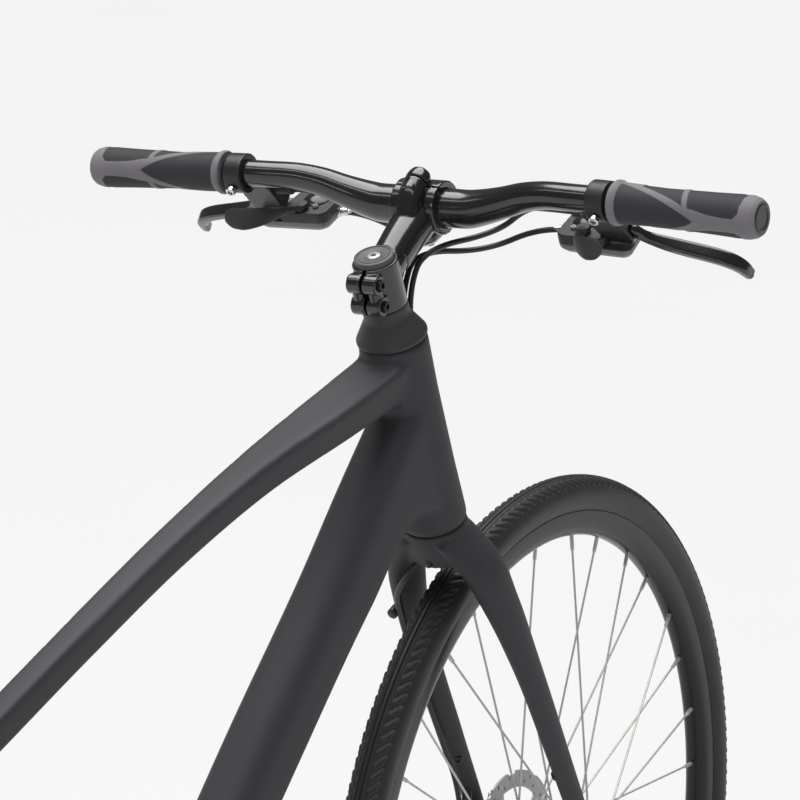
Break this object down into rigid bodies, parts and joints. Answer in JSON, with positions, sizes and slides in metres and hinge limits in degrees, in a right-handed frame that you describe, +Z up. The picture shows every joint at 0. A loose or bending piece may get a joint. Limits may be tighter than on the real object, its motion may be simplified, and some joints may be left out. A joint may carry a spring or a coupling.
{
  "type": "hybrid bike",
  "caption": "Flat-bar hybrid bike with turning wheels, fork, cranks, geared chain drive, disc brakes with pivoting levers, and a height-set saddle.",
  "frame": {"origin": "on the ground, midway along and across the bike's extent, wheels standing on z = 0", "axes": "+X forward, +Y to the rider's left, +Z up; handlebar and front wheel rest turned 7 degrees to the left as pictured"},
  "size_m": [1.7634, 0.6144, 1.0161],
  "materials": {
    "frame_paint": "satin charcoal paint on aluminium tube",
    "black_alloy": "black anodised or painted alloy",
    "steel": "plain or plated steel",
    "tyre_rubber": "matt black",
    "grip_rubber": "two-tone grey and black",
    "cover": "black synthetic cover over foam",
    "plastic": "matt black",
    "cap_grey": "grey",
    "housing": "smooth black sleeve"
  },
  "bodies": {
    "frame": {"head_tube": "frame_paint", "top_tube": "frame_paint", "down_tube": "frame_paint", "seat_tube": "frame_paint", "chainstays": "frame_paint", "seatstays": "frame_paint", "headset_bearings": "steel", "bottom_bracket": "steel", "seat_clamp": "black_alloy", "rear_brake_caliper": "black_alloy", "rear_cables": "housing", "chain": "steel", "rear_axle": "steel", "rear_derailleur": "black_alloy", "front_derailleur": "black_alloy"},
    "seat": {"seatpost": "black_alloy", "saddle_rails": "steel", "saddle_base": "plastic", "saddle_cushion": "cover"},
    "steering": {"fork": "frame_paint", "headset_cover": "plastic", "top_cap": "cap_grey", "stem": "black_alloy", "stem_faceplate": "black_alloy", "cockpit_bolts": "steel", "handlebar": "black_alloy", "left_grip": "grip_rubber", "right_grip": "grip_rubber", "brake_brackets": "black_alloy", "shifter_pods": "plastic", "front_brake_caliper": "black_alloy", "control_cables": "housing", "front_axle": "steel"},
    "front_wheel": {"front_tyre": "tyre_rubber", "front_rim": "black_alloy", "front_spokes": "steel", "front_hub": "black_alloy", "front_rotor": "steel"},
    "rear_wheel": {"rear_tyre": "tyre_rubber", "rear_rim": "black_alloy", "rear_spokes": "steel", "rear_hub": "black_alloy", "rear_rotor": "steel"},
    "cranks": {"crank_arms": "black_alloy", "chainrings": "steel"},
    "cassette": {"cassette": "steel"},
    "right_pedal": {"right_pedal": "plastic"},
    "left_pedal": {"left_pedal": "plastic"},
    "left_brake_lever": {"left_brake_lever": "black_alloy"},
    "right_brake_lever": {"right_brake_lever": "black_alloy"},
    "left_thumb_lever": {"left_thumb_lever": "plastic"},
    "right_thumb_lever": {"right_thumb_lever": "plastic"},
    "front_brake_arm": {"front_brake_arm": "black_alloy"},
    "rear_brake_arm": {"rear_brake_arm": "black_alloy"},
    "front_axle_lever": {"front_axle_lever": "steel"},
    "rear_axle_lever": {"rear_axle_lever": "steel"},
    "rear_derailleur_cage": {"rear_derailleur_cage": "steel"},
    "guide_pulley": {"guide_pulley": "plastic"},
    "tension_pulley": {"tension_pulley": "plastic"},
    "front_derailleur_cage": {"front_derailleur_cage": "steel"}
  },
  "joints": [
    {"name": "steering", "type": "hinge", "parent": "frame", "child": "steering", "pos_m": [0.36214, 0, 0.70872], "axis": [-0.3256, 0, 0.9455], "range_deg": [-67, 53]},
    {"name": "front_wheel_spin", "type": "hinge", "parent": "steering", "child": "front_wheel", "pos_m": [0.53468, 0.00561, 0.34789], "axis": [-0.1152, 0.9925, -0.0397], "continuous": true},
    {"name": "rear_wheel_spin", "type": "hinge", "parent": "frame", "child": "rear_wheel", "pos_m": [-0.535, 0, 0.348], "axis": [0, 1, 0], "continuous": true},
    {"name": "crank_spin", "type": "hinge", "parent": "frame", "child": "cranks", "pos_m": [-0.10567, 0, 0.278], "axis": [0, 1, 0], "continuous": true, "deforming": ["chain"]},
    {"name": "cassette_spin", "type": "hinge", "parent": "frame", "child": "cassette", "pos_m": [-0.535, 0, 0.348], "axis": [0, 1, 0], "continuous": true},
    {"name": "right_pedal_spin", "type": "hinge", "parent": "cranks", "child": "right_pedal", "pos_m": [0.05643, 0, 0.219], "axis": [0, 1, 0], "continuous": true},
    {"name": "left_pedal_spin", "type": "hinge", "parent": "cranks", "child": "left_pedal", "pos_m": [-0.26777, 0, 0.337], "axis": [0, 1, 0], "continuous": true},
    {"name": "left_brake_lever_pull", "type": "hinge", "parent": "steering", "child": "left_brake_lever", "pos_m": [0.36487, 0.17846, 0.95438], "axis": [0.6044, 0.1433, 0.7836], "range_deg": [0, 20], "stiffness_Nm_per_rad": 2, "springref_deg": -5.73},
    {"name": "left_thumb_push", "type": "hinge", "parent": "steering", "child": "left_thumb_lever", "pos_m": [0.36796, 0.14336, 0.95011], "axis": [0.34, 0.0019, -0.9404], "range_deg": [0, 25], "stiffness_Nm_per_rad": 0.3, "springref_deg": -11.46},
    {"name": "right_brake_lever_pull", "type": "hinge", "parent": "steering", "child": "right_brake_lever", "pos_m": [0.40337, -0.15318, 0.96764], "axis": [-0.614, -0.0609, -0.7869], "range_deg": [0, 20], "stiffness_Nm_per_rad": 2, "springref_deg": -5.73},
    {"name": "right_thumb_push", "type": "hinge", "parent": "steering", "child": "right_thumb_lever", "pos_m": [0.39839, -0.11875, 0.96059], "axis": [-0.34, -0.0019, 0.9404], "range_deg": [0, 25], "stiffness_Nm_per_rad": 0.3, "springref_deg": -11.46},
    {"name": "front_brake_arm_pull", "type": "hinge", "parent": "steering", "child": "front_brake_arm", "pos_m": [0.46915, 0.04568, 0.38131], "axis": [-0.1152, 0.9925, -0.0397], "range_deg": [0, 9]},
    {"name": "rear_brake_arm_pull", "type": "hinge", "parent": "frame", "child": "rear_brake_arm", "pos_m": [-0.47752, 0.06, 0.38795], "axis": [0, 1, 0], "range_deg": [0, 9]},
    {"name": "front_axle_lever_swing", "type": "hinge", "parent": "steering", "child": "front_axle_lever", "pos_m": [0.52644, 0.07657, 0.34505], "axis": [-0.9012, -0.0877, 0.4244], "range_deg": [0, 170]},
    {"name": "rear_axle_lever_swing", "type": "hinge", "parent": "frame", "child": "rear_axle_lever", "pos_m": [-0.535, 0.089, 0.348], "axis": [-0.9397, 0, -0.342], "range_deg": [0, 170]},
    {"name": "cage_swing", "type": "hinge", "parent": "frame", "child": "rear_derailleur_cage", "pos_m": [-0.531, -0.047, 0.282], "axis": [0, 1, 0], "range_deg": [-12, 20], "stiffness_Nm_per_rad": 2},
    {"name": "guide_pulley_spin", "type": "hinge", "parent": "rear_derailleur_cage", "child": "guide_pulley", "pos_m": [-0.531, -0.047, 0.282], "axis": [0, 1, 0], "continuous": true},
    {"name": "tension_pulley_spin", "type": "hinge", "parent": "rear_derailleur_cage", "child": "tension_pulley", "pos_m": [-0.53541, -0.047, 0.22617], "axis": [0, 1, 0], "continuous": true},
    {"name": "front_shift", "type": "slide", "parent": "frame", "child": "front_derailleur_cage", "axis": [0, 1, 0], "range_m": [0, 0.0075]},
    {"name": "seatpost_height", "type": "slide", "parent": "frame", "child": "seat", "axis": [-0.2924, 0, 0.9563], "range_m": [-0.12, 0.05]}
  ],
  "couplings": [
    {"joint": "cassette_spin", "follows": "crank_spin", "ratio": 2.5556},
    {"joint": "guide_pulley_spin", "follows": "crank_spin", "ratio": -4.1818},
    {"joint": "tension_pulley_spin", "follows": "crank_spin", "ratio": 4.1818},
    {"joint": "front_brake_arm_pull", "follows": "left_brake_lever_pull", "ratio": 0.45},
    {"joint": "rear_brake_arm_pull", "follows": "right_brake_lever_pull", "ratio": 0.45}
  ]
}
